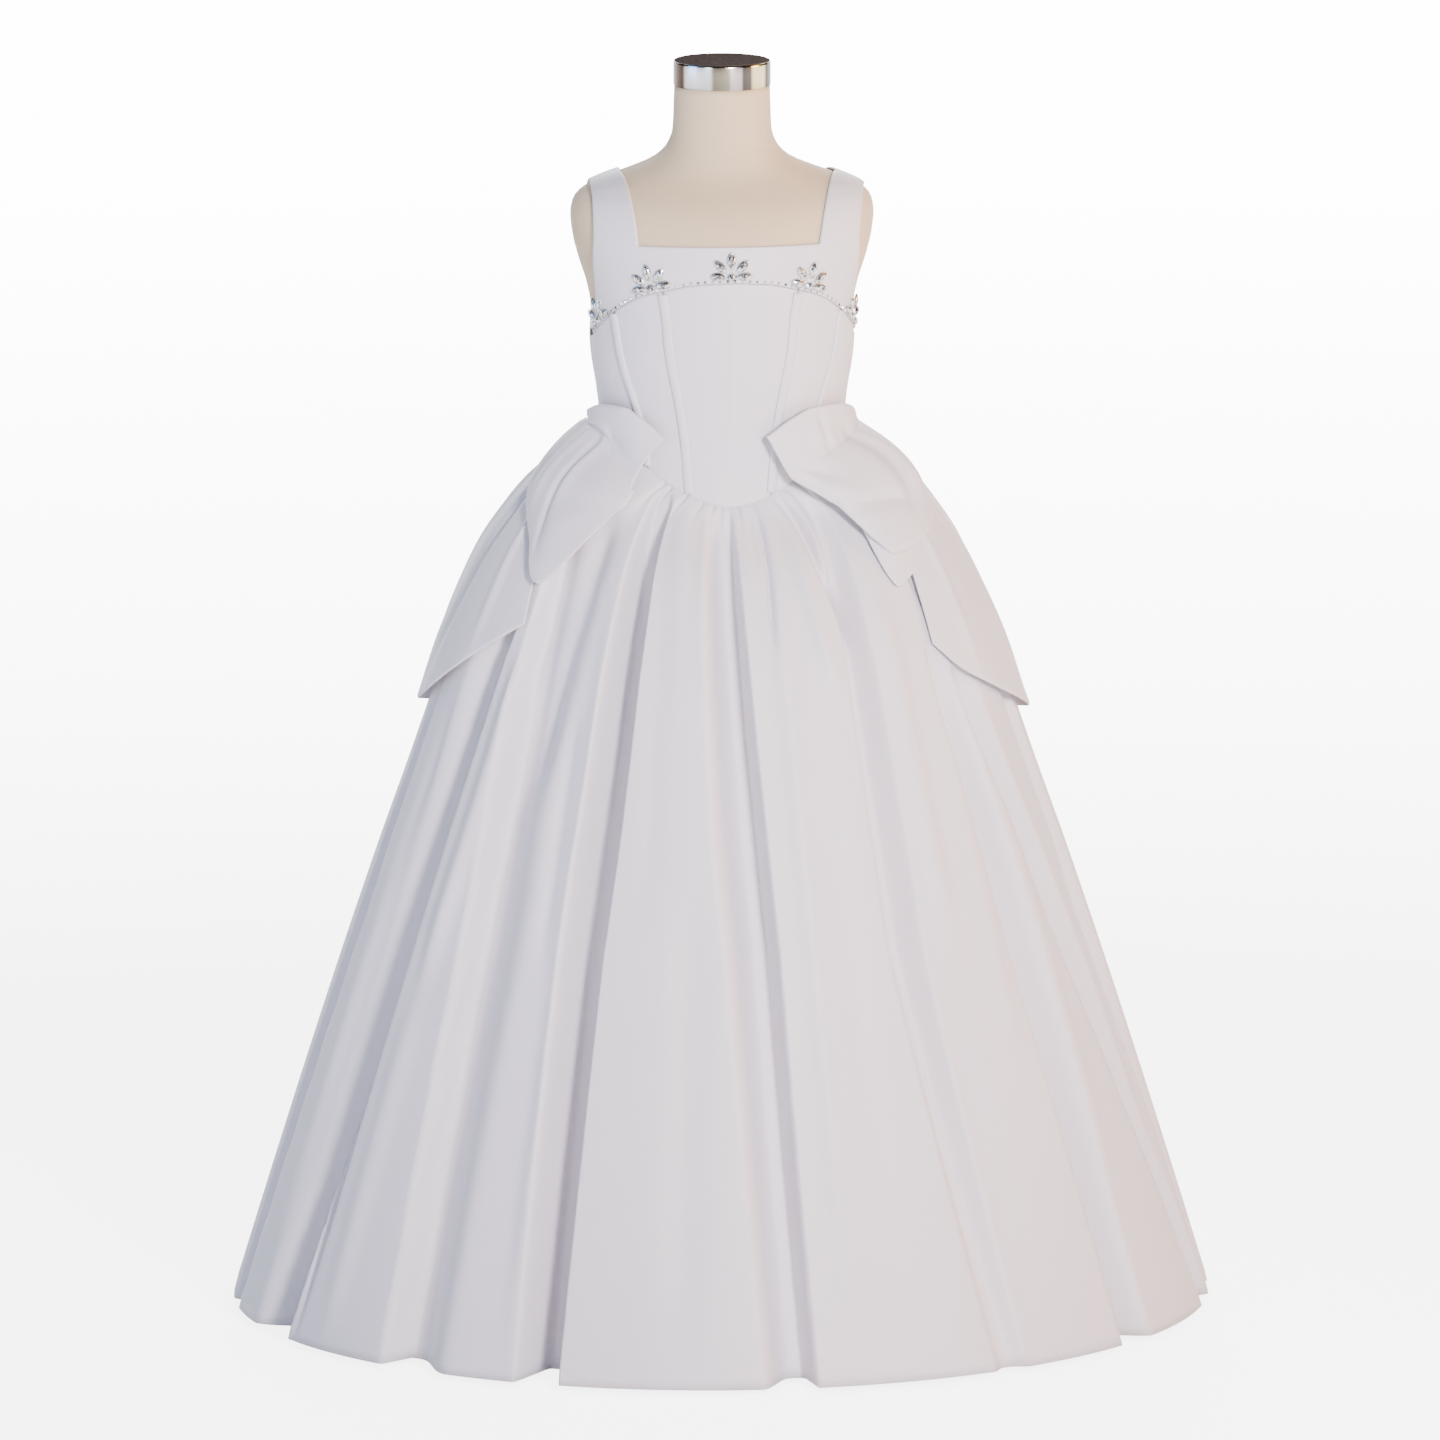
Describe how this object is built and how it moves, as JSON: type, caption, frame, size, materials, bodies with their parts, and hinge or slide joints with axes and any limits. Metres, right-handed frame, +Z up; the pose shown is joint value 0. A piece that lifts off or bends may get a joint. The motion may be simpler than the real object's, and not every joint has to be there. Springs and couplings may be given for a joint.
{
  "type": "communion dress on a limbless child's dress form",
  "caption": "White satin ball gown with square neckline, boned pointed bodice, rhinestone flowers and gathered hip swags, worn by a limbless dress form on a pole and base.",
  "frame": {"origin": "centre of the underside of the dress form's round base, on the floor", "axes": "+Z up; the dress faces -Y; +X is the wearer's left side, on the viewer's right"},
  "size_m": [0.8397, 0.75, 1.0807],
  "materials": {
    "satin": "matte duchess satin, white",
    "form_cloth": "natural linen stretched over the form",
    "cap_metal": "polished metal",
    "stand_metal": "satin black paint",
    "crystal": "clear cut rhinestone, silvered behind",
    "zip_metal": "nickel"
  },
  "bodies": {
    "dress_on_form": {"form_torso": "form_cloth", "form_neck_cap": "cap_metal", "form_pole": "stand_metal", "form_base": "stand_metal", "yoke_front": "satin", "bodice_centre_front": "satin", "bodice_side_front_left": "satin", "bodice_side_front_right": "satin", "bodice_side_left": "satin", "bodice_side_right": "satin", "bodice_back_left": "satin", "bodice_back_right": "satin", "bone_channel_inner_left": "satin", "bone_channel_inner_right": "satin", "bone_channel_outer_left": "satin", "bone_channel_outer_right": "satin", "skirt_front": "satin", "skirt_back": "satin", "swag_left_top": "satin", "swag_left_middle": "satin", "swag_left_long": "satin", "swag_right_top": "satin", "swag_right_under": "satin", "swag_right_long": "satin", "rhinestone_flower_centre": "crystal", "rhinestone_flower_left": "crystal", "rhinestone_flower_right": "crystal", "rhinestone_flower_far_left": "crystal", "rhinestone_flower_far_right": "crystal", "zip_slider": "zip_metal"},
    "zip_pull": {"zip_pull": "zip_metal"}
  },
  "joints": [
    {"name": "zip_pull_swing", "type": "hinge", "parent": "dress_on_form", "child": "zip_pull", "pos_m": [0, 0.09472, 0.914], "axis": [1, 0, 0], "range_deg": [0, 150]}
  ]
}
